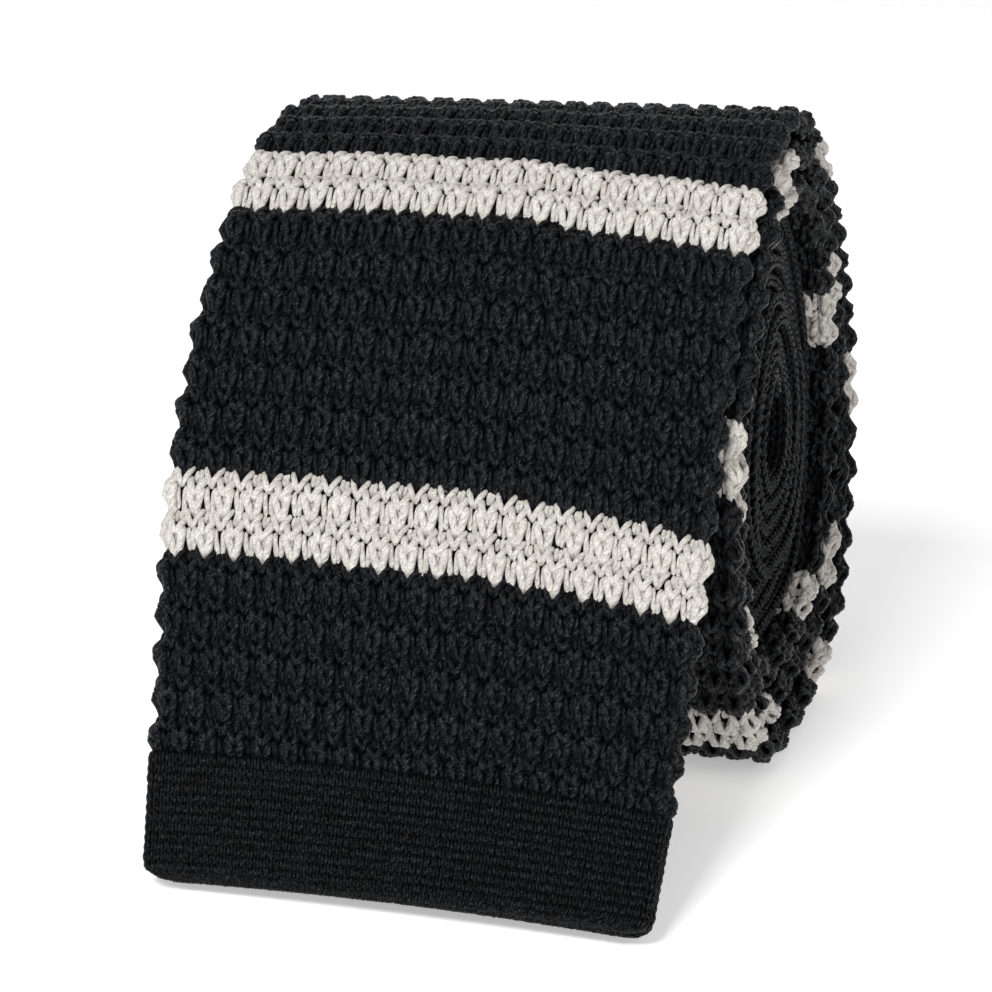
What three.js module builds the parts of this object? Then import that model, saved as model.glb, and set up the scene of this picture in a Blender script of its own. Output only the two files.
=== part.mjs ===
// Rolled square-end knitted necktie. Millimetres, +Z up, tie width along X, free blade end towards -Y.
// The tie is one flattened knitted tube. It is modelled band by band, a new node at each change of
// yarn or of stitch, wound in a slumped spiral with the wide end outermost.
import * as THREE from 'three';

// ---- driving dimensions --------------------------------------------------
const COURSE = 4.30;            // one row of raised stitches, along the tie
const HEM_LENGTH = 11.9;        // plain-knit hem of the wide end
const FIRST_BLACK_ROWS = 5;     // black rows between the hem and the first stripe
const BLACK_ROWS = 7;           // black rows between two stripes
const STRIPE_ROWS = 2;          // cream rows in a stripe
const STRIPES = 16;             // stripes on the wide half
const BLADE_END = 640.0;        // where the striped knit changes to the plain neck knit
const NECK_END = 1090.0;        // where the neck knit widens to the narrow end
const TIE_LENGTH = 1450.0;      // whole tie, laid flat
const TAIL_HEM = 12.0;          // hem of the narrow end
const GAP = 0.30;               // clearance between neighbouring bands

const ORIGIN_X = 0.80;          // the row's origin is the bottom centre of the whole
const ORIGIN_Y = 0.04;
const CENTRE_Y = 14.4;          // roll centre
const CENTRE_Z = 35.9;
const R_NOMINAL = 35.5;         // radius to which the depths below refer
const STEP = 15;                // angle between stations on the roll, degrees
const LEAVE_ANGLE = 45;         // where the free end leaves the roll, degrees above the front
// radius of the roll's outermost surface every 15 degrees, from the front over the top and down the back
const ROLL_LEFT = [35.5, 36.0, 36.4, 36.2, 35.4, 34.4, 33.6, 33.1, 32.5, 31.9, 32.0, 33.3,
  36.1, 39.6, 42.6, 43.5, 41.9, 39.503, 38.329, 39.861, 38.9, 37.4, 36.6, 35.6];
const ROLL_RIGHT = [34.4, 33.0, 32.2, 32.4, 33.3, 34.7, 35.1, 34.2, 32.5, 31.4, 31.5, 33.1,
  36.1, 39.6, 42.6, 43.5, 41.9, 39.503, 38.329, 39.861, 38.9, 37.4, 36.6, 35.6];
const BLADE_PITCH = 3.6;        // winding pitch of the thick striped knit
const NECK_PITCH = 2.08;        // winding pitch of the thin neck knit
const BLADE_TURNS = 3.98;       // turns wound at the wide pitch (the striped knit and the turn it rests on)
const BLADE_THICK = 3.0;        // thickness of the flattened tube, striped knit
const NECK_THICK = 1.58;        // thickness of the flattened tube, neck knit
const HEM_THICK = 2.4;          // the hem is thinner than the striped knit

// outer face of the free end, hem first: [y, z] at its left and right edge
const FLAP_LEFT = [[-48.05, 1.45], [-45.0, 6.65], [-42.15, 11.94], [-39.5, 17.32], [-36.95, 22.76], [-34.5, 28.24],
  [-32.14, 33.75], [-29.6, 39.18], [-26.64, 44.4], [-23.21, 49.32], [-19.25, 53.83], [-14.95, 58.01]];
const FLAP_RIGHT = [[-51.1, 2.0], [-46.66, 6.28], [-42.28, 10.37], [-38.06, 14.64], [-34.16, 19.2], [-30.55, 23.99],
  [-27.22, 28.98], [-24.09, 34.1], [-21.05, 39.27], [-18.07, 44.48], [-15.09, 49.69], [-11.82, 54.71]];

// distance along the tie, left edge, right edge
const WIDTHS = [[0, -25.4, 28.0], [12, -26.6, 28.0], [24, -27.5, 28.1], [36, -28.3, 28.1], [60, -28.3, 28.1],
  [100, -27.2, 28.8], [150, -26.4, 29.9], [300, -26.4, 29.6], [450, -26.2, 29.2], [625, -26.0, 28.6], [680, -23.6, 26.4],
  [1060, -23.6, 26.4], [1110, -24.6, 27.2], [1438, -24.6, 27.2], [1450, -24.0, 26.6]];

const EDGE_ROUND = 0.8;         // rounding of the folded edges
const GROOVE_HALF = 0.8;        // half width of the valley in which the back seam lies
const GROOVE_DEPTH = 1.0;
const NECK_GROOVE_DEPTH = 0.62;
const SEAM_HALF = 0.45;         // half width of the seam thread
const LABEL_THICK = 0.28;
const LABEL_CLEAR = 0.14;

// ---- the winding ---------------------------------------------------------
const RAD = Math.PI / 180;
const lerp = (a, b, t) => a + (b - a) * t;

function depthAtTurn(n) {       // how far below the outermost surface after n turns
  if (n <= BLADE_TURNS) return BLADE_PITCH * n;
  return BLADE_PITCH * BLADE_TURNS + NECK_PITCH * (n - BLADE_TURNS);
}

function rollPoint(table, angle, extra) {   // angle is a multiple of STEP
  const i = Math.round(angle / STEP) % table.length;
  const turn = (angle - LEAVE_ANGLE) / 360;
  const r = table[i] * (1 - (depthAtTurn(turn) + extra) / R_NOMINAL);
  return [CENTRE_Y - r * Math.cos(angle * RAD), CENTRE_Z + r * Math.sin(angle * RAD)];
}

// stations: outer and inner edge of the tube's section at the left and right edge, and the distance along the tie
const stations = [];
const nFlap = FLAP_LEFT.length;
for (let i = 0; i < nFlap; i++) stations.push({ flap: true, lo: FLAP_LEFT[i], ro: FLAP_RIGHT[i] });
const LAST_ANGLE = LEAVE_ANGLE + 360 * 14;
for (let a = LEAVE_ANGLE; a < LAST_ANGLE; a += STEP) {
  const turn = (a - LEAVE_ANGLE) / 360;
  if (depthAtTurn(turn) > R_NOMINAL - 2) break;
  stations.push({ flap: false, angle: a, lo: rollPoint(ROLL_LEFT, a, 0), ro: rollPoint(ROLL_RIGHT, a, 0) });
}
stations[0].s = 0;
for (let i = 1; i < stations.length; i++) {
  const a = stations[i - 1], b = stations[i];
  const dl = Math.hypot(b.lo[0] - a.lo[0], b.lo[1] - a.lo[1]);
  const dr = Math.hypot(b.ro[0] - a.ro[0], b.ro[1] - a.ro[1]);
  b.s = a.s + (dl + dr) / 2;
}
const S_LEAVE = stations[nFlap].s;

function thickness(s) {         // thickness of the tube at distance s
  if (s < HEM_LENGTH) return HEM_THICK;
  if (s < HEM_LENGTH + 4) return lerp(HEM_THICK, BLADE_THICK - 0.1, (s - HEM_LENGTH) / 4);
  if (s < BLADE_END - 6) return BLADE_THICK;
  if (s < BLADE_END + 12) return lerp(BLADE_THICK, NECK_THICK, (s - BLADE_END + 6) / 18);
  return NECK_THICK;
}

function normalOf(i, key) {     // inward normal of the free end at station i
  const a = stations[Math.max(0, i - 1)][key], b = stations[Math.min(nFlap, i + 1)][key];
  const dy = b[0] - a[0], dz = b[1] - a[1], l = Math.hypot(dy, dz);
  return [dz / l, -dy / l];
}

// point at depth d below the outer face, at station i
function stationPoint(i, key, d) {
  const st = stations[i];
  if (st.flap) {
    const n = normalOf(i, key);
    return [st[key][0] + n[0] * d, st[key][1] + n[1] * d];
  }
  return rollPoint(key === 'lo' ? ROLL_LEFT : ROLL_RIGHT, st.angle, d);
}

function widthAt(s) {
  let i = 0;
  while (i < WIDTHS.length - 2 && s > WIDTHS[i + 1][0]) i++;
  const a = WIDTHS[i], b = WIDTHS[i + 1], t = Math.min(1, Math.max(0, (s - a[0]) / (b[0] - a[0])));
  return [lerp(a[1], b[1], t), lerp(a[2], b[2], t)];
}

// a point of the tie: s along it, x across it, d below its outer face
function place(s, x, d) {
  let i = 0;
  while (i < stations.length - 2 && s > stations[i + 1].s) i++;
  const t = (s - stations[i].s) / (stations[i + 1].s - stations[i].s);
  const [xl, xr] = [-28, 30];
  const u = (x - xl) / (xr - xl);
  const at = (k) => {
    const l = stationPoint(k, 'lo', d), r = stationPoint(k, 'ro', d);
    return [lerp(l[0], r[0], u), lerp(l[1], r[1], u)];
  };
  const a = at(i), b = at(i + 1);
  return [x - ORIGIN_X, lerp(a[0], b[0], t) - ORIGIN_Y, lerp(a[1], b[1], t)];
}

// ---- closed solids swept along the tie -------------------------------------
function sweep(s0, s1, section) {   // section(s) gives a ring of [x, d], same count at every s
  const cuts = [s0];
  for (const st of stations) if (st.s > s0 + 0.4 && st.s < s1 - 0.4) cuts.push(st.s);
  cuts.push(s1);
  const rings = cuts.map((s) => section(s).map(([x, d]) => place(s, x, d)));
  const n = rings[0].length, pos = [], idx = [];
  for (const ring of rings) for (const p of ring) pos.push(...p);
  for (let k = 0; k < rings.length - 1; k++) {
    for (let j = 0; j < n; j++) {
      const a = k * n + j, b = k * n + (j + 1) % n, c = a + n, d = b + n;
      idx.push(a, c, b, b, c, d);
    }
  }
  const flat = section(s0).map(([x, d]) => new THREE.Vector2(x, -d));
  const turn = (a, b, c) => (b.x - a.x) * (c.y - a.y) - (b.y - a.y) * (c.x - a.x);
  const clockwise = THREE.ShapeUtils.area(flat) < 0;
  const faces = THREE.ShapeUtils.triangulateShape(flat, []).map((f) =>
    ((turn(flat[f[0]], flat[f[1]], flat[f[2]]) < 0) === clockwise ? f : [f[0], f[2], f[1]]));
  for (const f of faces) idx.push(f[0], f[1], f[2]);
  const off = (rings.length - 1) * n;
  for (const f of faces) idx.push(off + f[0], off + f[2], off + f[1]);
  const g = new THREE.BufferGeometry();
  g.setAttribute('position', new THREE.Float32BufferAttribute(pos, 3));
  g.setIndex(idx);
  if (volume(pos, idx) < 0) {
    for (let k = 0; k < idx.length; k += 3) [idx[k + 1], idx[k + 2]] = [idx[k + 2], idx[k + 1]];
    g.setIndex(idx);
  }
  g.computeVertexNormals();
  return g;
}

function volume(pos, idx) {
  let v = 0;
  for (let k = 0; k < idx.length; k += 3) {
    const [a, b, c] = [idx[k] * 3, idx[k + 1] * 3, idx[k + 2] * 3];
    v += pos[a] * (pos[b + 1] * pos[c + 2] - pos[b + 2] * pos[c + 1])
      - pos[a + 1] * (pos[b] * pos[c + 2] - pos[b + 2] * pos[c])
      + pos[a + 2] * (pos[b] * pos[c + 1] - pos[b + 1] * pos[c]);
  }
  return v / 6;
}

function bandSection(s) {       // the flattened tube with rounded folds and the valley of the back seam
  const t = thickness(s), [l, r] = widthAt(s), m = (l + r) / 2;
  const e = EDGE_ROUND, v = Math.min(t * 0.3, 0.9);
  const g = t < 2.2 ? NECK_GROOVE_DEPTH : GROOVE_DEPTH;
  return [[l + e, 0], [r - e, 0], [r, v], [r, t - v], [r - e, t], [m + GROOVE_HALF, t], [m + GROOVE_HALF, t - g],
    [m - GROOVE_HALF, t - g], [m - GROOVE_HALF, t], [l + e, t], [l, t - v], [l, v]];
}

function seamSection(s) {       // thread lying in the valley, clear of its walls
  const t = thickness(s), [l, r] = widthAt(s), m = (l + r) / 2;
  const g = t < 2.2 ? NECK_GROOVE_DEPTH : GROOVE_DEPTH;
  const a = t - g + 0.14, b = t - 0.06, w = SEAM_HALF, c = (b - a) * 0.3;
  return [[m - w + c, a], [m + w - c, a], [m + w, a + c], [m + w, b - c], [m + w - c, b], [m - w + c, b], [m - w, b - c],
    [m - w, a + c]];
}

const slab = (x0, x1, d0, d1) => (s) => {
  const t = thickness(s);
  return [[x0, t + d0], [x1, t + d0], [x1, t + d1], [x0, t + d1]];
};

// ---- the assembly --------------------------------------------------------
const BLACK = 0x16181b, CREAM = 0xe4dfd4, NECK = 0x141619, TAPE = 0x101114, THREAD = 0x0e0f11, LABEL = 0x2a2c30;
const tie = new THREE.Group();
tie.name = 'knit_tie_rolled';

function add(name, geometry, color, roughness = 0.9) {
  const mesh = new THREE.Mesh(geometry, new THREE.MeshStandardMaterial({ color, roughness, metalness: 0 }));
  mesh.name = name;
  tie.add(mesh);
}

const two = (k) => String(k).padStart(2, '0');
const band = (name, a, b, color) => add(name, sweep(a + GAP / 2, b - GAP / 2, bandSection), color);

add('hem_wide_end', sweep(0, HEM_LENGTH - GAP / 2, bandSection), BLACK);
let s = HEM_LENGTH, k;
const bounds = [];
for (k = 1; k <= STRIPES; k++) {
  const b = s + COURSE * (k === 1 ? FIRST_BLACK_ROWS : BLACK_ROWS);
  const c = b + COURSE * STRIPE_ROWS;
  band(`black_band_${two(k)}`, s, b, BLACK);
  band(`cream_stripe_${two(k)}`, b, c, CREAM);
  bounds.push(b);
  s = c;
}
band(`black_band_${two(STRIPES + 1)}`, s, BLADE_END, BLACK);
band('neck_knit', BLADE_END, NECK_END, NECK);
band('narrow_end_knit', NECK_END, TIE_LENGTH - TAIL_HEM, BLACK);
add('hem_narrow_end', sweep(TIE_LENGTH - TAIL_HEM + GAP / 2, TIE_LENGTH, bandSection), BLACK);

const HINGE_S = bounds[1];      // the free end folds where the second stripe starts
add('back_seam_free_end', sweep(13.4, HINGE_S - GAP / 2, seamSection), THREAD);
add('back_seam_rolled_part', sweep(HINGE_S + GAP / 2, TIE_LENGTH - TAIL_HEM - 1.4, seamSection), THREAD);
add('bar_tack_wide_end', sweep(8.4, 9.9, slab(-2.2, 3.6, 0.1, 0.7)), THREAD);
add('bar_tack_narrow_end', sweep(TIE_LENGTH - 6.0, TIE_LENGTH - 4.5, slab(-1.6, 4.2, 0.1, 0.6)), THREAD);
add('keeper_loop', sweep(250, 260, slab(-20.5, 23.5, LABEL_CLEAR, LABEL_CLEAR + LABEL_THICK)), TAPE);
add('blank_label', sweep(206, 234, slab(-18.5, 21.5, LABEL_CLEAR, LABEL_CLEAR + LABEL_THICK)), LABEL, 0.7);

export default tie;
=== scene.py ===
import math

import bpy
import numpy as np
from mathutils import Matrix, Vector

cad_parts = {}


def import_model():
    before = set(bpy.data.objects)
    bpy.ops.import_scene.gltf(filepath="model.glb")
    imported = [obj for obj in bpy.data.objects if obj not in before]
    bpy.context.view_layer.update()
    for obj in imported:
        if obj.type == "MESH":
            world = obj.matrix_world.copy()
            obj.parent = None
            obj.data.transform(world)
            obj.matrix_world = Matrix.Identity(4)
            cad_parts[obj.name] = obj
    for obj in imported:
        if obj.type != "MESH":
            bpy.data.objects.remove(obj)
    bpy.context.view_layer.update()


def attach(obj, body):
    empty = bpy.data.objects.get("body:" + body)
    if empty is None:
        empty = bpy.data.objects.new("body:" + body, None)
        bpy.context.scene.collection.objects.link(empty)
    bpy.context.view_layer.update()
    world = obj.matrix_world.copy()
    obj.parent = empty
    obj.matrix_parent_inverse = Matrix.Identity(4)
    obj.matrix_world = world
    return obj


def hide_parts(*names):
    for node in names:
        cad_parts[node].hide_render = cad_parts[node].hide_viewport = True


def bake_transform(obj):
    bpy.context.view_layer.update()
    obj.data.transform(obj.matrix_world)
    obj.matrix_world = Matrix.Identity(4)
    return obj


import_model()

MM = 0.001
rng = np.random.default_rng(20)

# ---- camera --------------------------------------------------------------
cam_data = bpy.data.cameras.new("camera")
cam = bpy.data.objects.new("camera", cam_data)
bpy.context.scene.collection.objects.link(cam)
cam_data.sensor_width = 36.0
cam_data.lens = 152.555
cam_data.clip_start, cam_data.clip_end = 0.01, 50.0
cam.location = (0.10909, -0.41901, 0.16131)
aim = Vector((0.00852, -0.03864, 0.04167)) - cam.location
cam.rotation_mode = "QUATERNION"
cam.rotation_quaternion = aim.to_track_quat("-Z", "Y")
bpy.context.scene.camera = cam
bpy.context.scene.view_settings.view_transform = "Standard"

# ---- driving dimensions of the tie, mm --------------------------------------
COURSE = 4.30
HEM = 11.9
FIRST_BLACK, BLACK_ROWS, STRIPE_ROWS, STRIPES = 5, 7, 2, 16
BLADE_END, NECK_END, LENGTH, TAIL_HEM = 640.0, 1090.0, 1450.0, 12.0
OX, OY = 0.80, 0.04
CY, CZ, R0 = 14.4, 35.9, 35.5
LEAVE = 45.0
ROLL_L = np.array([35.5, 36.0, 36.4, 36.2, 35.4, 34.4, 33.6, 33.1, 32.5, 31.9, 32.0, 33.3,
                   36.1, 39.6, 42.6, 43.5, 41.9, 39.503, 38.329, 39.861, 38.9, 37.4, 36.6, 35.6])
ROLL_R = np.array([34.4, 33.0, 32.2, 32.4, 33.3, 34.7, 35.1, 34.2, 32.5, 31.4, 31.5, 33.1,
                   36.1, 39.6, 42.6, 43.5, 41.9, 39.503, 38.329, 39.861, 38.9, 37.4, 36.6, 35.6])
BLADE_PITCH, NECK_PITCH, BLADE_TURNS = 3.6, 2.08, 3.98
BLADE_T, NECK_T, HEM_T = 3.0, 1.58, 2.4
FLAP_L = np.array([[-48.05, 1.45], [-45.0, 6.65], [-42.15, 11.94], [-39.5, 17.32], [-36.95, 22.76], [-34.5, 28.24],
                   [-32.14, 33.75], [-29.6, 39.18], [-26.64, 44.4], [-23.21, 49.32], [-19.25, 53.83], [-14.95, 58.01]])
FLAP_R = np.array([[-51.1, 2.0], [-46.66, 6.28], [-42.28, 10.37], [-38.06, 14.64], [-34.16, 19.2], [-30.55, 23.99],
                   [-27.22, 28.98], [-24.09, 34.1], [-21.05, 39.27], [-18.07, 44.48], [-15.09, 49.69], [-11.82, 54.71]])
WIDTHS = np.array([[0, -25.4, 28.0], [12, -26.6, 28.0], [24, -27.5, 28.1], [36, -28.3, 28.1], [60, -28.3, 28.1],
                   [100, -27.2, 28.8], [150, -26.4, 29.9], [300, -26.4, 29.6], [450, -26.2, 29.2], [625, -26.0, 28.6],
                   [680, -23.6, 26.4], [1060, -23.6, 26.4], [1110, -24.6, 27.2], [1438, -24.6, 27.2], [1450, -24.0, 26.6]])


# ---- the winding -------------------------------------------------------------
def depth_at_turn(n):
    return np.where(n <= BLADE_TURNS, BLADE_PITCH * n, BLADE_PITCH * BLADE_TURNS + NECK_PITCH * (n - BLADE_TURNS))


def periodic(table, angle):
    t = (angle / 15.0) % 24
    i = np.floor(t).astype(int)
    f = t - i
    a, b, c, d = table[(i - 1) % 24], table[i % 24], table[(i + 1) % 24], table[(i + 2) % 24]
    return b + 0.5 * f * (c - a + f * (2 * a - 5 * b + 4 * c - d + f * (3 * (b - c) + d - a)))


def roll_point(table, angle, extra=0.0):
    turn = (angle - LEAVE) / 360.0
    r = periodic(table, angle) * (1 - (depth_at_turn(turn) + extra) / R0)
    a = np.radians(angle)
    return np.stack([CY - r * np.cos(a), CZ + r * np.sin(a)], -1)


def catmull(points, t):
    n = len(points)
    i = np.clip(np.floor(t).astype(int), 0, n - 2)
    f = (t - i)[:, None]
    ext = np.vstack([2 * points[0] - points[1], points, 2 * points[-1] - points[-2]])
    a, b, c, d = ext[i], ext[i + 1], ext[i + 2], ext[i + 3]
    return b + 0.5 * f * (c - a + f * (2 * a - 5 * b + 4 * c - d + f * (3 * (b - c) + d - a)))


n_flap = 12
last = LEAVE
angles = []
while True:
    if depth_at_turn(np.array((last - LEAVE) / 360.0)) > R0 - 2 or last >= LEAVE + 360 * 14:
        break
    angles.append(last)
    last += 15.0
angles = np.array(angles)
st_l = np.vstack([FLAP_L, roll_point(ROLL_L, angles)])
st_r = np.vstack([FLAP_R, roll_point(ROLL_R, angles)])
step = (np.linalg.norm(np.diff(st_l, axis=0), axis=1) + np.linalg.norm(np.diff(st_r, axis=0), axis=1)) / 2
ST_S = np.concatenate([[0], np.cumsum(step)])

fine = np.concatenate([np.arange(0, n_flap, 0.1), np.arange(n_flap, len(ST_S) - 1, 0.1)])
S_F = np.interp(fine, np.arange(len(ST_S)), ST_S)


def fine_curve(flap, table):
    head = np.vstack([flap, roll_point(table, LEAVE + 15.0 * np.arange(4))])
    on_flap = catmull(head, np.minimum(fine, n_flap + 2))
    on_roll = roll_point(table, LEAVE + 15.0 * (np.maximum(fine, n_flap) - n_flap))
    w = np.clip((fine - n_flap) / 1.0, 0, 1)[:, None]
    w = w * w * (3 - 2 * w)
    o = on_flap * (1 - w) + on_roll * w
    g = np.gradient(o, axis=0)
    nrm = np.stack([g[:, 1], -g[:, 0]], -1)
    nrm /= np.linalg.norm(nrm, axis=1)[:, None]
    deeper = roll_point(table, LEAVE + 15.0 * (np.maximum(fine, n_flap) - n_flap), 1.0) - on_roll
    w2 = np.clip((fine - (n_flap - 1.5)) / 3.0, 0, 1)[:, None]
    w2 = w2 * w2 * (3 - 2 * w2)
    return o, nrm * (1 - w2) + deeper * w2


O_L, D_L = fine_curve(FLAP_L, ROLL_L)
O_R, D_R = fine_curve(FLAP_R, ROLL_R)


# slow unevenness of the winding: sideways shift of the folds, one value every 9 mm of tie
_wob = np.random.default_rng(5).standard_normal((2, 200))
_wob = (_wob + np.roll(_wob, 1, 1)) / 1.4


def edge_shift(s):
    """How far the left and right fold stray sideways, mm."""
    g = np.clip((s - 90.0) / 40.0, 0, 1)
    t = np.clip(s / 9.0, 0, 198)
    return g * 0.22 * np.interp(t, np.arange(200), _wob[0]), g * 0.22 * np.interp(t, np.arange(200), _wob[1])


def width_at(s):
    l = np.interp(s, WIDTHS[:, 0], WIDTHS[:, 1])
    r = np.interp(s, WIDTHS[:, 0], WIDTHS[:, 2])
    a, b = edge_shift(s)
    c = np.clip(2.4 - s, 0, 2.4)
    c = 2.4 - np.sqrt(np.maximum(2.4 ** 2 - c ** 2, 0))
    e = np.clip(2.0 - (LENGTH - s), 0, 2.0)
    e = 2.0 - np.sqrt(np.maximum(4.0 - e ** 2, 0))
    return l + a + c + e, r + b - c - e


def thick(s):
    t = np.where(s < HEM, HEM_T, np.where(s < HEM + 4, HEM_T + (BLADE_T - 0.1 - HEM_T) * (s - HEM) / 4, BLADE_T))
    return np.where(s > BLADE_END - 6, np.clip(BLADE_T + (NECK_T - BLADE_T) * (s - BLADE_END + 6) / 18, NECK_T, BLADE_T), t)


def place(s, x, d):
    """Row-frame point (mm) of the tie: s along it, x across it, d below its outer face."""
    u = ((x + 28.0) / 58.0)[..., None]
    col = lambda a: np.stack([np.interp(s, S_F, a[:, 0]), np.interp(s, S_F, a[:, 1])], -1)
    p = (col(O_L) + d[..., None] * col(D_L)) * (1 - u) + (col(O_R) + d[..., None] * col(D_R)) * u
    return np.concatenate([(x - OX)[..., None], p[..., :1] - OY, p[..., 1:]], -1)


CORE = 0.42   # depth of the mid-yarn layer under the outer face


def section(q, z, s, pairs):
    """Place on the flattened tube's closed section. q runs once round it in stitch pairs (0..2*pairs), from the
    middle of the left fold over the outer face to the middle of the right fold and back along the inner face;
    z is the height over the tube's outer surface (0 and below). Gives x and d."""
    t = thick(s)
    h = t / 2
    l, r = width_at(s)
    flat = (r - l) - 2 * h
    arc = math.pi * (h - np.minimum(CORE, h * 0.5))
    half = flat + arc
    a = (q / pairs) * half
    a = np.mod(a, 2 * half)
    back = a >= half
    a = np.where(back, a - half, a)
    phi_l = (0.5 - a / arc) * math.pi           # from the left fold's middle to the face
    phi_r = (0.5 - (half - a) / arc) * math.pi
    on_l, on_r = a < arc / 2, a > half - arc / 2
    rad = h + z
    mid = l + h + (a - arc / 2)
    x = np.where(on_l, l + h - rad * np.sin(phi_l), np.where(on_r, r - h + rad * np.sin(phi_r), mid))
    m = np.where(on_l, -rad * np.cos(phi_l), np.where(on_r, -rad * np.cos(phi_r), -rad))   # from the mid plane, - outwards
    # on the inner face the section runs from the right fold to the left one
    x = np.where(back, l + r - x, x)
    m = np.where(back, -m, m)
    return x, m, h


def world(q, s, z, pairs=19.0, groove=False):
    """Centre points in the row frame, mm. The ends of the tube are closed by turning the section over."""
    x, m, h = section(q, z, s, pairs)
    se = HEM_T / 2
    phi = np.clip((se - s) / (se * 0.9), 0, 1.75)
    s2 = np.where(s < se, se - np.abs(m) * np.sin(phi), s)
    m2 = np.where(s < se, m * np.cos(phi), m)
    te = LENGTH - NECK_T / 2
    phi = np.clip((s - te) / (NECK_T / 2 * 0.9), 0, 1.75)
    s2 = np.where(s > te, te + np.abs(m) * np.sin(phi), s2)
    m2 = np.where(s > te, m * np.cos(phi), m2)
    v = (x - 0.9) / 28.2
    return place(s2 + bow(v, s2), x, m2 + h)


# ---- yarn tubes ------------------------------------------------------------------
def smooth_path(ctrl, n):
    ctrl = np.array(ctrl, float)
    t = np.linspace(0, len(ctrl) - 1, n)
    return catmull(ctrl, t)


class Tubes:
    """Collects yarn pieces and turns them into one mesh."""

    def __init__(self, sides):
        self.k = sides
        self.v, self.f, self.uv, self.bake, self.count = [], [], [], [], 0
        self.tubes = []

    def add(self, centre, radius, up, phase, flat=0.9):
        """centre [U,n,3] mm, radius [U,n] mm, up [U,n,3] direction away from the cloth."""
        k = self.k
        U, n, _ = centre.shape
        t = np.gradient(centre, axis=1)
        t /= np.maximum(np.linalg.norm(t, axis=2, keepdims=True), 1e-9)
        side = np.cross(t, up)
        ln = np.linalg.norm(side, axis=2, keepdims=True)
        side = side / np.maximum(ln, 1e-6)
        # keep the side direction steady where the yarn dives
        for i in range(1, n):
            flip = (side[:, i] * side[:, i - 1]).sum(1) < 0
            side[flip, i] *= -1
        top = np.cross(side, t)
        a = np.arange(k) * (2 * math.pi / k)
        ring = (side[:, :, None, :] * np.cos(a)[None, None, :, None] + flat * top[:, :, None, :] * np.sin(a)[None, None, :, None])
        verts = centre[:, :, None, :] + ring * radius[:, :, None, None]
        base = self.count + (np.arange(U) * n * k)[:, None, None]
        i = np.arange(n - 1)[None, :, None]
        j = np.arange(k)[None, None, :]
        j2 = (j + 1) % k
        f = np.stack([base + i * k + j, base + i * k + j2, base + (i + 1) * k + j2, base + (i + 1) * k + j], -1)
        # outward winding
        c = np.cross(side, top)
        if (c * t).sum() < 0:
            f = f[..., ::-1]
            order = [3, 2, 1, 0]
        else:
            order = [0, 1, 2, 3]
        seg = np.linalg.norm(np.diff(centre, axis=1), axis=2)
        run = np.concatenate([np.zeros((U, 1)), np.cumsum(seg, 1)], 1) + phase[:, None]
        u0 = np.broadcast_to(j / k, (U, n - 1, k))
        u1 = np.broadcast_to((j + 1) / k, (U, n - 1, k))
        v0 = np.broadcast_to(run[:, :-1, None], (U, n - 1, k))
        v1 = np.broadcast_to(run[:, 1:, None], (U, n - 1, k))
        uv = np.stack([np.stack([u0, v0], -1), np.stack([u1, v0], -1), np.stack([u1, v1], -1), np.stack([u0, v1], -1)], -2)
        uv = uv[..., order, :]
        cell = np.stack([np.stack([np.broadcast_to(j, (U, n - 1, k)), np.broadcast_to(i, (U, n - 1, k))], -1),
                         np.stack([np.broadcast_to(j + 1, (U, n - 1, k)), np.broadcast_to(i, (U, n - 1, k))], -1),
                         np.stack([np.broadcast_to(j + 1, (U, n - 1, k)), np.broadcast_to(i + 1, (U, n - 1, k))], -1),
                         np.stack([np.broadcast_to(j, (U, n - 1, k)), np.broadcast_to(i + 1, (U, n - 1, k))], -1)], -2).astype(float)
        cell[..., 0] /= k
        cell[..., 1] /= (n - 1)
        cell = cell[..., order, :]
        self.v.append(verts.reshape(-1, 3))
        self.f.append(f.reshape(-1, 4))
        self.uv.append(uv.reshape(-1, 2))
        self.bake.append(cell.reshape(U, -1, 2))
        self.count += U * n * k

    def mesh(self, name, material):
        v = np.concatenate(self.v) * MM
        f = np.concatenate(self.f)
        # every yarn piece gets its own cell in the bake's map
        total = sum(len(b) for b in self.bake)
        cols = int(math.ceil(math.sqrt(total * 2.0)))
        rows = int(math.ceil(total / cols))
        out, c = [], 0
        for b in self.bake:
            idx = c + np.arange(len(b))
            gx, gy = (idx % cols)[:, None, None], (idx // cols)[:, None, None]
            w = np.concatenate([(gx + 0.06 + 0.88 * b[..., :1]) / cols, (gy + 0.04 + 0.92 * b[..., 1:]) / rows], -1)
            out.append(w.reshape(-1, 2))
            c += len(b)
        return make_mesh(name, v, f, np.concatenate(self.uv), np.concatenate(out), material)


def make_mesh(name, v, f, uv, bake, material, smooth=True):
    me = bpy.data.meshes.new(name)
    me.vertices.add(len(v))
    me.vertices.foreach_set("co", v.astype(np.float32).ravel())
    k = f.shape[1]
    me.loops.add(len(f) * k)
    me.loops.foreach_set("vertex_index", f.astype(np.int32).ravel())
    me.polygons.add(len(f))
    me.polygons.foreach_set("loop_start", np.arange(0, len(f) * k, k, dtype=np.int32))
    me.update(calc_edges=True)
    if smooth:
        me.polygons.foreach_set("use_smooth", np.ones(len(f), bool))
    if bake is not None:
        lay = me.uv_layers.new(name="OFBake")
        lay.uv.foreach_set("vector", bake.astype(np.float32).ravel())
    if uv is not None:
        lay = me.uv_layers.new(name="Yarn")
        lay.uv.foreach_set("vector", uv.astype(np.float32).ravel())
    me.materials.append(material)
    ob = bpy.data.objects.new(name, me)
    bpy.context.scene.collection.objects.link(ob)
    return ob


def node(nt, kind, **values):
    n = nt.nodes.new(kind)
    for key, val in values.items():
        setattr(n, key, val)
    return n


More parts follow.
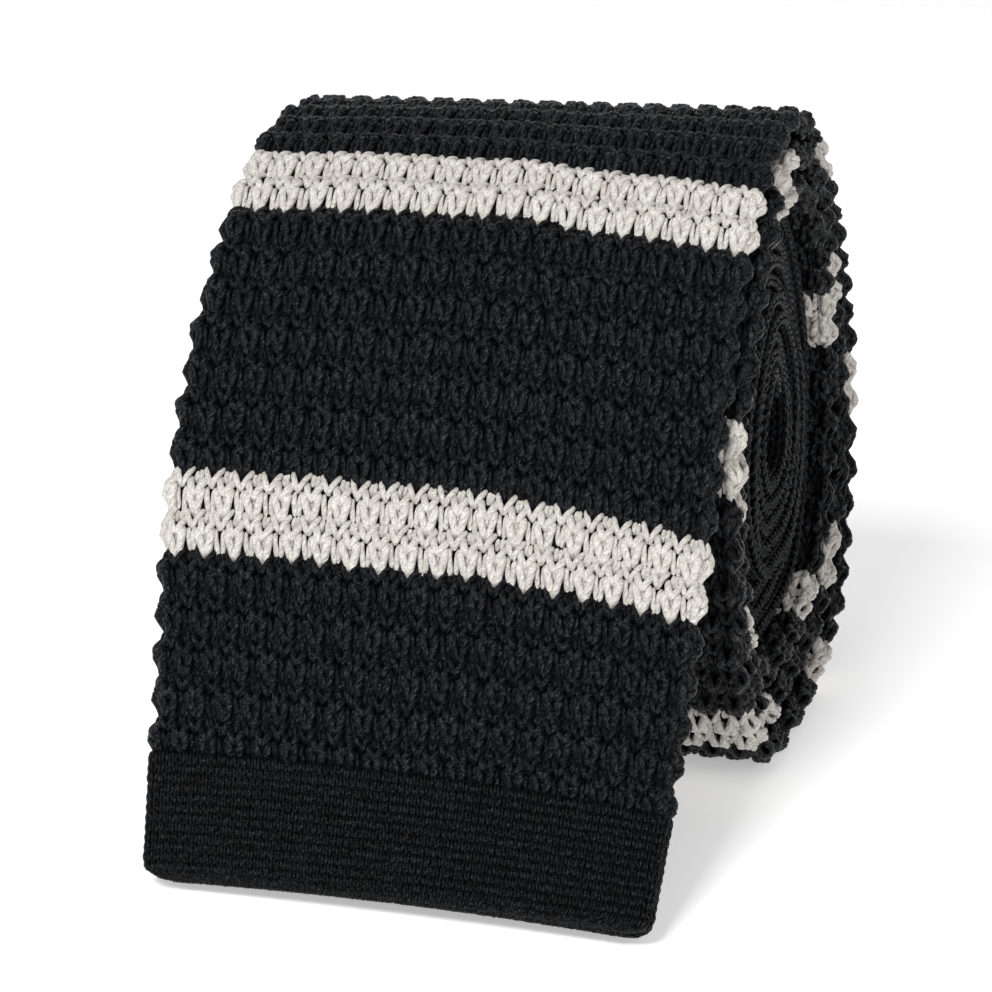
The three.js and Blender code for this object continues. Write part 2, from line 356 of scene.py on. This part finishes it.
def math_node(nt, op, a, b=None):
    n = node(nt, "ShaderNodeMath", operation=op)
    for i, val in enumerate((a, b)):
        if val is None:
            continue
        if isinstance(val, (int, float)):
            n.inputs[i].default_value = val
        else:
            nt.links.new(val, n.inputs[i])
    return n.outputs[0]


def yarn_material(name, dark, mid, light, rough, sheen, ply, bump, spec=0.4):
    """Soft multifilament yarn: a faint ply twist, fine filaments running along it, and slow changes of tone. On the
    near-black yarns the light end of the colour ramp is painted highlight: sparse bluish filament glints.
    """
    m = bpy.data.materials.new(name)
    m.use_nodes = True
    nt = m.node_tree
    nt.nodes.clear()
    out = node(nt, "ShaderNodeOutputMaterial")
    p = node(nt, "ShaderNodeBsdfPrincipled")
    nt.links.new(p.outputs[0], out.inputs[0])
    uv = node(nt, "ShaderNodeUVMap", uv_map="Yarn")
    sep = node(nt, "ShaderNodeSeparateXYZ")
    nt.links.new(uv.outputs[0], sep.inputs[0])
    turn = math_node(nt, "MULTIPLY", sep.outputs[0], 2 * math.pi * 3)
    run = math_node(nt, "MULTIPLY", sep.outputs[1], 2 * math.pi / ply)
    plies = math_node(nt, "SINE", math_node(nt, "ADD", turn, run))
    twist = math_node(nt, "ADD", sep.outputs[0], math_node(nt, "MULTIPLY", sep.outputs[1], 0.33))
    vec = node(nt, "ShaderNodeCombineXYZ")
    nt.links.new(math_node(nt, "MULTIPLY", twist, 15.0), vec.inputs[0])
    nt.links.new(math_node(nt, "MULTIPLY", sep.outputs[1], 1.4), vec.inputs[1])
    fil = node(nt, "ShaderNodeTexNoise")
    fil.inputs["Scale"].default_value = 1.0
    fil.inputs["Detail"].default_value = 3.0
    fil.inputs["Roughness"].default_value = 0.6
    nt.links.new(vec.outputs[0], fil.inputs["Vector"])
    coord = node(nt, "ShaderNodeTexCoord")
    fuzz = node(nt, "ShaderNodeTexNoise")
    fuzz.inputs["Scale"].default_value = 4800.0
    fuzz.inputs["Detail"].default_value = 1.0
    nt.links.new(coord.outputs["Object"], fuzz.inputs["Vector"])
    h = math_node(nt, "ADD", math_node(nt, "MULTIPLY", plies, 0.18), math_node(nt, "MULTIPLY", fil.outputs["Fac"], 0.9))
    h = math_node(nt, "ADD", h, math_node(nt, "MULTIPLY", fuzz.outputs["Fac"], 0.2))
    b = node(nt, "ShaderNodeBump")
    b.inputs["Strength"].default_value = bump
    b.inputs["Distance"].default_value = 0.00022
    nt.links.new(h, b.inputs["Height"])
    nt.links.new(b.outputs[0], p.inputs["Normal"])
    slow = node(nt, "ShaderNodeTexNoise")
    slow.inputs["Scale"].default_value = 420.0
    slow.inputs["Detail"].default_value = 3.0
    nt.links.new(coord.outputs["Object"], slow.inputs["Vector"])
    fac = math_node(nt, "ADD", math_node(nt, "MULTIPLY", slow.outputs["Fac"], 0.12),
                    math_node(nt, "MULTIPLY", fil.outputs["Fac"], 0.46))
    fac = math_node(nt, "ADD", fac, math_node(nt, "MULTIPLY", fuzz.outputs["Fac"], 0.42))
    # colour from the filament and fuzz noise: random tone; on the black, hem and fine yarns the bluish light end is
    # painted highlight, speckled filament glints
    ramp = node(nt, "ShaderNodeValToRGB")
    ramp.color_ramp.elements[0].position, ramp.color_ramp.elements[1].position = 0.41, 0.61
    ramp.color_ramp.elements[0].color = (*dark, 1)
    ramp.color_ramp.elements[1].color = (*light, 1)
    ramp.color_ramp.elements.new(0.51).color = (*mid, 1)
    nt.links.new(fac, ramp.inputs[0])
    nt.links.new(ramp.outputs[0], p.inputs["Base Color"])
    p.inputs["Roughness"].default_value = rough
    shine = node(nt, "ShaderNodeMapRange")
    shine.inputs["From Min"].default_value, shine.inputs["From Max"].default_value = 0.40, 0.66
    shine.inputs["To Min"].default_value, shine.inputs["To Max"].default_value = 0.25 * spec, 2.1 * spec
    nt.links.new(math_node(nt, "ADD", math_node(nt, "MULTIPLY", fil.outputs["Fac"], 0.5),
                           math_node(nt, "MULTIPLY", fuzz.outputs["Fac"], 0.5)), shine.inputs["Value"])
    nt.links.new(shine.outputs[0], p.inputs["Specular IOR Level"])
    p.inputs["Sheen Weight"].default_value = sheen
    p.inputs["Sheen Roughness"].default_value = 0.45
    p.inputs["Metallic"].default_value = 0.0
    return m


def cloth_material(name, dark, light, rough, scale, bump):
    """Plain ground of the knit, or a woven tape: crossed fine threads with slow changes of tone. On the knit's ground
    the near-black colour is partly painted shade in the gaps between stitches.
    """
    m = bpy.data.materials.new(name)
    m.use_nodes = True
    nt = m.node_tree
    nt.nodes.clear()
    out = node(nt, "ShaderNodeOutputMaterial")
    p = node(nt, "ShaderNodeBsdfPrincipled")
    nt.links.new(p.outputs[0], out.inputs[0])
    coord = node(nt, "ShaderNodeTexCoord")
    sep = node(nt, "ShaderNodeSeparateXYZ")
    nt.links.new(coord.outputs["Object"], sep.inputs[0])
    a = math_node(nt, "SINE", math_node(nt, "MULTIPLY", sep.outputs[0], scale))
    yz = math_node(nt, "ADD", sep.outputs[1], sep.outputs[2])
    c = math_node(nt, "SINE", math_node(nt, "MULTIPLY", yz, scale))
    h = math_node(nt, "MULTIPLY", a, c)
    n = node(nt, "ShaderNodeTexNoise")
    n.inputs["Scale"].default_value = 600.0
    n.inputs["Detail"].default_value = 4.0
    nt.links.new(coord.outputs["Object"], n.inputs["Vector"])
    hh = math_node(nt, "ADD", math_node(nt, "MULTIPLY", h, 0.5), n.outputs["Fac"])
    b = node(nt, "ShaderNodeBump")
    b.inputs["Strength"].default_value = bump
    b.inputs["Distance"].default_value = 0.0001
    nt.links.new(hh, b.inputs["Height"])
    nt.links.new(b.outputs[0], p.inputs["Normal"])
    ramp = node(nt, "ShaderNodeValToRGB")
    ramp.color_ramp.elements[0].position, ramp.color_ramp.elements[1].position = 0.3, 0.75
    ramp.color_ramp.elements[0].color = (*dark, 1)
    ramp.color_ramp.elements[1].color = (*light, 1)
    nt.links.new(n.outputs["Fac"], ramp.inputs[0])
    nt.links.new(ramp.outputs[0], p.inputs["Base Color"])
    p.inputs["Roughness"].default_value = rough
    p.inputs["Specular IOR Level"].default_value = 0.1
    p.inputs["Sheen Weight"].default_value = 0.01
    return m


# black and fine yarn: the bluish light colour, reached only by the top of the noise, is painted highlight (filament
# glints)
BLACK = yarn_material("black_yarn", (0.0003, 0.0004, 0.0006), (0.0015, 0.0018, 0.0025), (0.018, 0.021, 0.028), 0.36, 0.008, 0.95, 1.0, 0.20)
# a darker copy of the black yarn for the hem along the floor: painted shade; its bluish light end is painted glint as
# well
HEM_YARN_PAINTED_SHADE = yarn_material("hem_yarn_painted_shade", (0.0004, 0.0005, 0.0007), (0.0014, 0.0016, 0.0021), (0.0075, 0.0088, 0.0115), 0.40, 0.006, 0.6, 0.6, 0.145)
CREAM = yarn_material("cream_yarn", (0.50, 0.46, 0.41), (0.65, 0.62, 0.577), (0.81, 0.795, 0.77), 0.58, 0.05, 0.95, 0.85, 0.32)
FINE = yarn_material("fine_yarn", (0.0008, 0.0009, 0.0012), (0.0040, 0.0046, 0.0060), (0.014, 0.016, 0.021), 0.46, 0.010, 0.6, 0.8, 0.15)
THREAD = yarn_material("sewing_thread", (0.0022, 0.0024, 0.003), (0.0045, 0.0050, 0.0058), (0.0085, 0.0095, 0.011), 0.45, 0.01, 0.35, 0.6, 0.2)
# near-black ground: the black yarn's own colour under the black bands, painted shade in the holes between the cream
# stitches
GROUND_AND_SHADE = cloth_material("ground_black", (0.0018, 0.0020, 0.0023), (0.0040, 0.0044, 0.0050), 0.9, 9000.0, 0.6)
GROUND2_AND_SHADE = cloth_material("ground_plain_and_painted_shade", (0.0018, 0.0020, 0.0023), (0.0040, 0.0044, 0.0050), 0.9, 12000.0, 0.6)
TAPE = cloth_material("keeper_weave", (0.004, 0.0042, 0.005), (0.010, 0.0105, 0.012), 0.6, 7000.0, 0.9)
LABEL = cloth_material("label_satin", (0.020, 0.021, 0.025), (0.040, 0.042, 0.048), 0.42, 16000.0, 0.5)

# ---- stitches, mm: x across, y towards the hem, z height below the outer face -----------
OVAL_UPPER = [(0.78, -0.36, -1.20), (0.69, 0.00, -0.76), (0.54, 0.42, -0.47), (0.34, 0.85, -0.43), (0.17, 1.22, -0.58), (0.06, 1.56, -1.05)]
OVAL_LOWER = [(0.50, 0.66, -1.12), (0.68, 1.04, -0.74), (0.68, 1.50, -0.50), (0.55, 2.02, -0.44), (0.40, 2.50, -0.46), (0.28, 3.00, -0.56), (0.19, 3.45, -0.84), (0.13, 3.84, -1.24)]
OVAL_INNER = [(0.02, 1.15, -1.15), (0.03, 1.60, -0.98), (0.02, 2.15, -0.94), (0.02, 2.75, -1.10)]
OVAL_RECESS = [(0.17, -1.30, -1.25), (0.20, -0.85, -1.03), (0.21, -0.40, -0.98), (0.16, 0.20, -1.15)]
LADDER_HEAD = [(0.90, -1.38, -1.18), (0.78, -1.02, -0.80), (0.56, -0.52, -0.58), (0.33, -0.04, -0.56), (0.15, 0.38, -0.74), (0.05, 0.74, -1.15)]
LADDER_LEG = [(0.42, 0.72, -1.28), (0.38, 1.15, -1.02), (0.335, 1.70, -0.90), (0.28, 2.35, -0.88), (0.225, 2.98, -0.98), (0.16, 3.50, -1.25)]
STITCHES = {
    "oval": [(OVAL_UPPER, 0.40, (1, -1)), (OVAL_LOWER, 0.435, (1, -1)), (OVAL_INNER, 0.30, (1,)), (OVAL_RECESS, 0.28, (1, -1))],
    "ladder": [(LADDER_HEAD, 0.325, (1, -1)), (LADDER_LEG, 0.32, (1, -1))],
}
HEM_STITCH = [(0.26, -0.30, -0.66), (0.235, 0.04, -0.30), (0.19, 0.46, -0.22), (0.145, 0.86, -0.28), (0.12, 1.20, -0.64)]
FINE_STITCH = [(0.56, -0.32, -0.62), (0.46, 0.10, -0.30), (0.30, 0.62, -0.24), (0.14, 1.14, -0.30), (0.07, 1.52, -0.60)]

PAIRS = 19.0


def lay(tubes, units, ctrl, radius, mirror, n, pairs=PAIRS, pitch=2.97, taper=0.62, jitter=1.0, relief=0.0, seam=True):
    """Lays one yarn path at every unit. units is [U,2]: q (in stitch pairs) and s of the stitch's origin."""
    if not len(units):
        return
    path = smooth_path(ctrl, n)
    U = len(units)
    for sgn in mirror:
        x = np.broadcast_to(path[:, 0] * sgn, (U, n)).copy()
        y = np.broadcast_to(path[:, 1], (U, n)).copy()
        z = np.broadcast_to(path[:, 2], (U, n)).copy()
        r0 = rng.standard_normal((U, 6)) * jitter
        x = x * (1 + 0.05 * r0[:, :1]) + 0.045 * r0[:, 1:2]
        y = y * (1 + 0.03 * r0[:, 2:3]) + 0.06 * r0[:, 3:4]
        z = z + 0.035 * r0[:, 4:5]
        q = units[:, :1] + x / pitch
        if relief:   # each row stands up at its heads and dips at its tips, most of all round the folds
            qm = np.mod(q, 2 * pairs)
            left, right = np.minimum(qm, 2 * pairs - qm), np.abs(qm - pairs)
            amp = relief * (1 + 0.2 * np.exp(-(left / 0.9) ** 2) + 0.4 * np.exp(-(right / 0.9) ** 2))
            ph = 2 * math.pi * (y - 0.95) / COURSE
            z = z + amp * (np.cos(ph) + 0.22 * np.sin(2 * ph)) - 0.25 * amp
        s = units[:, 1:2] - y
        if seam:   # the back seam lies in a shallow valley
            off = np.abs(np.mod(q, 2 * pairs) - 1.5 * pairs)
            z = z - 0.55 * np.exp(-(off / 0.42) ** 2)
        a = world(q, s, z, pairs)
        up = world(q, s, z + 0.25, pairs) - a
        up /= np.maximum(np.linalg.norm(up, axis=2, keepdims=True), 1e-6)
        e = np.linspace(0, 1, n)
        prof = taper + (1 - taper) * np.clip(np.minimum(e, 1 - e) / 0.22, 0, 1) ** 0.7
        lump = rng.uniform(0, 2 * math.pi, (U, 1))
        rad = radius * prof[None, :] * (1 + 0.05 * r0[:, 5:6] + 0.05 * np.sin(e[None, :] * 9.0 + lump))
        a[..., 2] = np.maximum(a[..., 2], rad * 0.92)   # the lowest yarn is pressed flat on the floor
        tubes.add(a, np.broadcast_to(rad, (U, n)), up, rng.uniform(0, 5, U))


def bow(v, s):
    """How far the courses stray up the tie: most in mid width; v is -1 at the left fold and 1 at the right one."""
    return np.interp(s, [0, 40, 75, 105, 150], [0.8, 1.6, 1.6, 1.5, 0.2]) * (1 - v * v) + np.interp(s, [0, 14, 40, 75, 110, 160], [0, 0, -0.55, 0.85, 0.4, 0])


def row_shift(q, s):
    """Slow unevenness of the courses, mm along the tie."""
    w = 2 * math.pi * q / (2 * PAIRS)
    kink = 0.7 * np.exp(-((q - 10.6) / 0.9) ** 2) * np.exp(-((s - 76.0) / 6.0) ** 2)
    return kink + 0.16 * np.sin(3 * w + s * 0.05) + 0.10 * np.sin(7 * w + s * 0.021 + 1.0) + 0.07 * np.sin(13 * w - s * 0.08)


def textured_rows(tubes, k0, k1, keep, n_front=9, n_back=7):
    """Rows k0..k1-1 of raised stitches; keep(q) picks the wales by place round the tube."""
    for k in range(k0, k1):
        top = HEM + COURSE * (k + 1) - 0.4
        m = np.arange(76)
        q = (m + 0.5) * 0.5
        for kind, par in (("oval", 0), ("ladder", 1)):
            qq = q[(m + k) % 2 == par]
            qq = qq[keep(qq)]
            units = np.stack([qq, top + row_shift(qq, top)], -1)
            front = (qq < PAIRS)
            for part, n in ((units[front], n_front), (units[~front], n_back)):
                for ctrl, radius, mirror in STITCHES[kind]:
                    lay(tubes, part, ctrl, radius, mirror, n, relief=0.28)


def plain_rows(tubes, s0, s1, keep, ctrl, radius, course, wales, pitch, n=5, jitter=0.5):
    """Courses of plain knit between s0 and s1. wales is the number round the tube."""
    pairs = wales / 2.0
    q = np.arange(wales) + 0.5
    q = q[keep(q / pairs)]
    c = np.arange(s1 - course * 0.5, s0 - course * 0.4, -course)
    gq, gs = np.meshgrid(q, c)
    units = np.stack([gq.ravel(), gs.ravel()], -1)
    lay(tubes, units, ctrl, radius, (1, -1), n, pairs=pairs, pitch=pitch, jitter=jitter, seam=True)


# ---- ground of the knit: closed thin bodies below the yarn; near-black, the black yarn's own colour and painted shade in the gaps and see-through holes ---
def ground(name, s0, s1, step, material, thick_core, cap=True):
    cuts = np.linspace(s0, s1, max(2, int(round((s1 - s0) / step)) + 1))
    rings = []
    for s in cuts:
        t = float(thick(np.array(s)))
        h = t / 2
        l, r = (float(a) for a in width_at(np.array(s)))
        skin = 1.2 if t > 2.0 else 0.5
        skin = min(skin, h - 0.25)
        b = h - skin                      # half thickness by the folds
        c = max(b, h - 0.35) if thick_core(s) else b
        e = skin                          # how far the fold stands in
        xs = [l + e, l + e + 0.25, l + e + 5.0, l + e + 6.5, (l + r) / 2 - 8, (l + r) / 2 + 8, r - e - 6.5, r - e - 5.0, r - e - 0.25, r - e]
        hs = [b * 0.35, b, b, c, c, c, c, b, b, b * 0.35]
        top = [(x, h - y) for x, y in zip(xs, hs)]
        bot = [(x, h + y) for x, y in zip(xs, hs)][::-1]
        ring = np.array(top + bot)
        close = min(1.0, max(0.0, (s - s0 + 0.3) / 1.2), max(0.0, (s1 - s + 0.3) / 1.2)) if cap else 1.0
        ring[:, 1] = h + (ring[:, 1] - h) * close
        rings.append(place(np.full(len(ring), s), ring[:, 0], ring[:, 1]))
    rings = np.array(rings)
    m, n = rings.shape[:2]
    v = rings.reshape(-1, 3)
    i = np.arange(m - 1)[:, None]
    j = np.arange(n)[None, :]
    j2 = (j + 1) % n
    f = np.stack([i * n + j, (i + 1) * n + j, (i + 1) * n + j2, i * n + j2], -1).reshape(-1, 4)
    # ends: quads between the upper and the lower row
    half = n // 2
    caps = []
    for a in range(half - 1):
        caps.append([a, a + 1, n - 2 - a, n - 1 - a])
        off = (m - 1) * n
        caps.append([off + n - 1 - a, off + n - 2 - a, off + a + 1, off + a])
    f = np.vstack([f, np.array(caps)])
    vol = 0.0
    for tri in ((0, 1, 2), (0, 2, 3)):
        p = v[f[:, tri]]
        vol += np.einsum("ij,ij->i", p[:, 0], np.cross(p[:, 1], p[:, 2])).sum() / 6
    if vol < 0:
        f = f[:, ::-1]
    u = np.zeros((len(f), 4, 2))
    nf = (m - 1) * n
    ii, jj = np.divmod(np.arange(nf), n)
    # one strip chart, folded into columns so that it fills the map
    cols = max(1, int(round(math.sqrt((s1 - s0) / 120.0))))
    per = int(math.ceil((m - 1) / cols))
    cx = (ii // per)
    ci = ii % per
    ccell = lambda a, b: np.stack([(cx + 0.03 + 0.94 * (b / n)) / cols, 0.02 + 0.93 * (a / per)], -1)
    quad = np.stack([ccell(ci, jj), ccell(ci + 1, jj), ccell(ci + 1, jj + 1), ccell(ci, jj + 1)], 1)
    u[:nf] = quad if vol >= 0 else quad[:, ::-1]
    rest = len(f) - nf
    for a in range(rest):
        x0 = 0.02 + 0.9 * a / rest
        u[nf + a] = [(x0, 0.96), (x0 + 0.8 / rest, 0.96), (x0 + 0.8 / rest, 0.99), (x0, 0.99)]
    return make_mesh(name, v * MM, f, None, u.reshape(-1, 2), material)


def strip(name, s0, s1, x0, x1, d0, d1, material, step=1.5, puff=0.0):
    """A thin tape lying on the inner face between s0 and s1, with soft rolled edges."""
    cuts = np.linspace(s0, s1, max(3, int((s1 - s0) / step) + 1))
    n = 28
    xs = x0 + (x1 - x0) * np.linspace(0, 1, n)
    rings = []
    for s in cuts:
        e = min(1.0, (s - s0 + 0.15) / 0.6, (s1 - s + 0.15) / 0.6)
        prof = np.clip(np.minimum(np.arange(n), n - 1 - np.arange(n)) / 1.5 + 0.35, 0, 1) * e
        mid = (d0 + d1) / 2
        wave = 0.03 * np.sin(xs * 1.3 + s) + puff * np.sin(math.pi * (xs - x0) / (x1 - x0))
        t = thick(np.array(s))
        up = t + mid + wave - prof * (d1 - d0) / 2
        dn = t + mid + wave + prof * (d1 - d0) / 2
        ring = np.concatenate([np.stack([xs, up], -1), np.stack([xs, dn], -1)[::-1]])
        rings.append(place(np.full(2 * n, s), ring[:, 0], ring[:, 1]))
    rings = np.array(rings)
    m, k = rings.shape[:2]
    v = rings.reshape(-1, 3)
    i = np.arange(m - 1)[:, None]
    j = np.arange(k)[None, :]
    j2 = (j + 1) % k
    f = np.stack([i * k + j, (i + 1) * k + j, (i + 1) * k + j2, i * k + j2], -1).reshape(-1, 4)
    caps = []
    for a in range(n - 1):
        caps.append([a, a + 1, k - 2 - a, k - 1 - a])
        off = (m - 1) * k
        caps.append([off + k - 1 - a, off + k - 2 - a, off + a + 1, off + a])
    f = np.vstack([f, np.array(caps)])
    vol = 0.0
    for tri in ((0, 1, 2), (0, 2, 3)):
        p = v[f[:, tri]]
        vol += np.einsum("ij,ij->i", p[:, 0], np.cross(p[:, 1], p[:, 2])).sum() / 6
    if vol < 0:
        f = f[:, ::-1]
    return make_mesh(name, v * MM, f, None, None, material)


def thread(tubes, s, x, d, radius):
    """A thread through points given on the tie, d below the outer face."""
    c = place(s, x, d)[None]
    up = (place(s, x, d + 0.2) - place(s, x, d))[None]
    up = up / np.linalg.norm(up, axis=2, keepdims=True)
    tubes.add(c, np.full((1, len(s)), radius), up, np.zeros(1), flat=1.0)


# ---- build -------------------------------------------------------------------------------------
everywhere = lambda q: np.ones(len(q), bool)
SPLIT = 96.9            # the free end's cloth runs up to here; its pieces are not attached to the roll body
FULL_ROWS = 71          # outer face is knitted in full up to this row; farther in only the folds are in sight


def outer_and_folds(q):
    return (q < PAIRS + 2.1) | (q > 2 * PAIRS - 2.1)


def folds(q):
    near = np.minimum(np.minimum(q, np.abs(q - PAIRS)), np.abs(2 * PAIRS - q))
    return near < 1.9


free, roll = [], []
names_roll = []


def piece(name, tubes, material, nodes, group):
    ob = tubes.mesh(name, material)
    if nodes:
        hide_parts(*nodes)
    group.append(ob)
    return ob


bands = []                # (first row, last row + 1, colour, node)
k = 0
for b in range(1, STRIPES + 1):
    rows = FIRST_BLACK if b == 1 else BLACK_ROWS
    bands.append((k, k + rows, "black", f"black_band_{b:02d}"))
    bands.append((k + rows, k + rows + STRIPE_ROWS, "cream", f"cream_stripe_{b:02d}"))
    k += rows + STRIPE_ROWS
last_rows = int((BLADE_END - HEM - COURSE * k) / COURSE)
bands.append((k, k + last_rows, "black", f"black_band_{STRIPES + 1:02d}"))

FREE_ROWS = int(round((SPLIT - HEM) / COURSE))     # rows knitted as the free end

t = Tubes(5)
plain_rows(t, -0.3, HEM + 1.6, everywhere, HEM_STITCH, 0.205, 1.0, 152, 0.745, n=5)
piece("hem_wide_end_knit", t, HEM_YARN_PAINTED_SHADE, ["hem_wide_end"], free)

inner_black, inner_cream = Tubes(6), Tubes(6)
inner_nodes = {"black": [], "cream": []}
inner_count = 0
for k0, k1, colour, name in bands:
    mat = BLACK if colour == "black" else CREAM
    if k0 < FREE_ROWS:
        for ka in range(k0, min(k1, FREE_ROWS), 4):
            t = Tubes(7)
            textured_rows(t, ka, min(ka + 4, k1, FREE_ROWS), everywhere, n_front=10, n_back=7)
            piece(name + ("_knit" if ka == k0 else "_knit_upper"), t, mat, [name] if ka == k0 else [], free)
        if k1 > FREE_ROWS:
            t = Tubes(6)
            textured_rows(t, FREE_ROWS, k1, outer_and_folds)
            piece(name + "_knit_roll", t, mat, [], roll)
    elif k0 < FULL_ROWS:
        t = Tubes(6)
        textured_rows(t, k0, k1, outer_and_folds, n_front=9, n_back=7)
        piece(name + "_knit", t, mat, [name], roll)
    else:
        t = inner_black if colour == "black" else inner_cream
        textured_rows(t, k0, k1, folds, n_front=8, n_back=7)
        inner_nodes[colour].append(name)
        inner_count += 1
        if colour == "black" and inner_count >= 8 or name == bands[-1][3]:
            piece("inner_black_folds_" + name[-2:], inner_black, BLACK, inner_nodes["black"], roll)
            inner_black = Tubes(6)
            inner_nodes["black"] = []
            inner_count = 0
if inner_nodes["black"]:
    piece("inner_black_folds_rest", inner_black, BLACK, inner_nodes["black"], roll)
piece("inner_cream_folds", inner_cream, CREAM, inner_nodes["cream"], roll)

end_rows = HEM + COURSE * (k + last_rows)
near_fold = lambda f: (np.minimum(np.minimum(f, np.abs(f - 1)), np.abs(2 - f)) < 0.075)
for part, a, b, nodes in (("neck_knit_folds_a", end_rows, 862.0, ["neck_knit"]), ("neck_knit_folds_b", 862.0, NECK_END, []),
                          ("narrow_end_folds_a", NECK_END, 1270.0, ["narrow_end_knit"]),
                          ("narrow_end_folds_b", 1270.0, LENGTH + 0.3, ["hem_narrow_end"])):
    t = Tubes(5)
    plain_rows(t, a, b, near_fold, FINE_STITCH, 0.25, 1.38, 76, 1.38, n=5)
    piece(part, t, FINE, nodes, roll)

# ---- ground bodies
# the ground bodies lie under all the knit; under the cream stripes their near-black colour is painted shade
g_free = ground("free_end_ground", 1.1, SPLIT + 0.2, 1.1, GROUND_AND_SHADE, lambda s: False)
g_roll = ground("rolled_part_ground", SPLIT - 0.2, LENGTH - 0.8, 2.2, GROUND2_AND_SHADE, lambda s: s > 330)
free.append(g_free)
roll.append(g_roll)

# ---- seam, tacks, keeper, label
mid = lambda s: float(sum(width_at(np.array(s)))) / 2


def seam(name, s0, s1, node_name, group, d_off, pitch, radius, amp, per):
    n = int((s1 - s0) / pitch * per) + 1
    s = np.linspace(s0, s1, n)
    ph = (s - s0) / pitch * 2 * math.pi
    l, r = width_at(s)
    x = (l + r) / 2 + amp * np.sin(ph)
    d = thick(s) + d_off - 0.10 * np.cos(2 * ph)
    t = Tubes(5)
    thread(t, s, x, d, radius)
    x = (l + r) / 2 - amp * np.sin(ph)
    thread(t, s, x, d - 0.02, radius)
    return piece(name, t, THREAD, [node_name], group)


seam("back_seam_free_end_thread", 13.4, SPLIT - 0.1, "back_seam_free_end", free, -0.52, 2.4, 0.19, 0.42, 10)
seam("back_seam_rolled_thread", SPLIT - 0.1, LENGTH - 13.4, "back_seam_rolled_part", roll, -0.42, 2.4, 0.16, 0.38, 7)


def tack(name, s0, s1, x0, x1, node_name, group):
    t = Tubes(6)
    m = 9
    for i in range(m):
        f = (i + 0.5) / m
        s = np.full(12, s0 + (s1 - s0) * f) + 0.05 * np.sin(np.arange(12) + i)
        x = np.linspace(x0, x1, 12)
        bow = np.sin(np.linspace(0, math.pi, 12)) ** 0.5
        thread(t, s, x, thick(s) + 0.02 + 0.34 * bow + 0.05 * math.sin(i * 2.1), 0.15)
    for f in (0.18, 0.5, 0.82):
        s = np.linspace(s0 - 0.1, s1 + 0.1, 8)
        x = np.full(8, x0 + (x1 - x0) * f)
        thread(t, s, x, thick(s) + 0.46 * np.sin(np.linspace(0.25, math.pi - 0.25, 8)), 0.13)
    return piece(name, t, THREAD, [node_name], group)


tack("bar_tack_wide_end_thread", 8.4, 9.9, -2.2, 3.6, "bar_tack_wide_end", free)
tack("bar_tack_narrow_end_thread", LENGTH - 6.0, LENGTH - 4.5, -1.6, 4.2, "bar_tack_narrow_end", roll)
keeper = strip("keeper_loop_tape", 250, 260, -20.5, 23.5, 0.14, 0.42, TAPE)
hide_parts("keeper_loop")
label = strip("blank_label_cloth", 206, 234, -18.5, 21.5, 0.14, 0.42, LABEL)
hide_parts("blank_label")
roll += [keeper, label]

# ---- riding ---------------------------------------------------------------------------------------
for ob in free:
    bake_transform(ob)
for ob in roll:
    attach(ob, "roll")

# ---- stage -------------------------------------------------------------------------------------------
floor_me = bpy.data.meshes.new("floor")
N = 48
R = 6.0
prof = [(y, 0.0) for y in np.linspace(-3.0, 2.2, 14)]
for a in np.linspace(0, math.pi / 2, 14)[1:]:
    prof.append((2.2 + 1.6 * math.sin(a), 1.6 - 1.6 * math.cos(a)))
prof.append((3.8, 5.0))
vs, fs = [], []
for y, z in prof:
    vs.append((-5.0, y, z))
    vs.append((5.0, y, z))
for i in range(len(prof) - 1):
    fs.append((2 * i, 2 * i + 1, 2 * i + 3, 2 * i + 2))
floor_me.from_pydata(vs, [], fs)
for p in floor_me.polygons:
    p.use_smooth = True
floor = bpy.data.objects.new("floor", floor_me)
bpy.context.scene.collection.objects.link(floor)
fm = bpy.data.materials.new("floor_paper")
fm.use_nodes = True
bs = fm.node_tree.nodes["Principled BSDF"]
bs.inputs["Base Color"].default_value = (0.93, 0.93, 0.93, 1)
bs.inputs["Roughness"].default_value = 0.9
bs.inputs["Specular IOR Level"].default_value = 0.1
bs.inputs["Emission Color"].default_value = (1, 1, 1, 1)
bs.inputs["Emission Strength"].default_value = 0.40
floor_me.materials.append(fm)

world_data = bpy.data.worlds.new("studio")
bpy.context.scene.world = world_data
world_data.use_nodes = True
bg = world_data.node_tree.nodes["Background"]
bg.inputs[0].default_value = (1.0, 1.0, 1.0, 1)
bg.inputs[1].default_value = 0.27


def area(name, loc, target, size, power, color=(1, 1, 1)):
    d = bpy.data.lights.new(name, "AREA")
    d.shape = "RECTANGLE"
    d.size, d.size_y = size
    d.energy = power
    d.color = color
    o = bpy.data.objects.new(name, d)
    bpy.context.scene.collection.objects.link(o)
    o.location = loc
    o.rotation_mode = "QUATERNION"
    o.rotation_quaternion = (Vector(target) - Vector(loc)).to_track_quat("-Z", "Y")
    return o


key = area("key_light", (-0.15, -0.90, 0.84), (0.0, -0.01, 0.03), (0.34, 0.34), 10.9)
fill = area("fill_light", (0.62, -0.72, 0.58), (0.0, -0.02, 0.03), (0.6, 0.6), 2.4)
top = area("top_light", (-0.25, 0.15, 1.0), (0.0, 0.0, 0.03), (0.5, 0.5), 0.1)
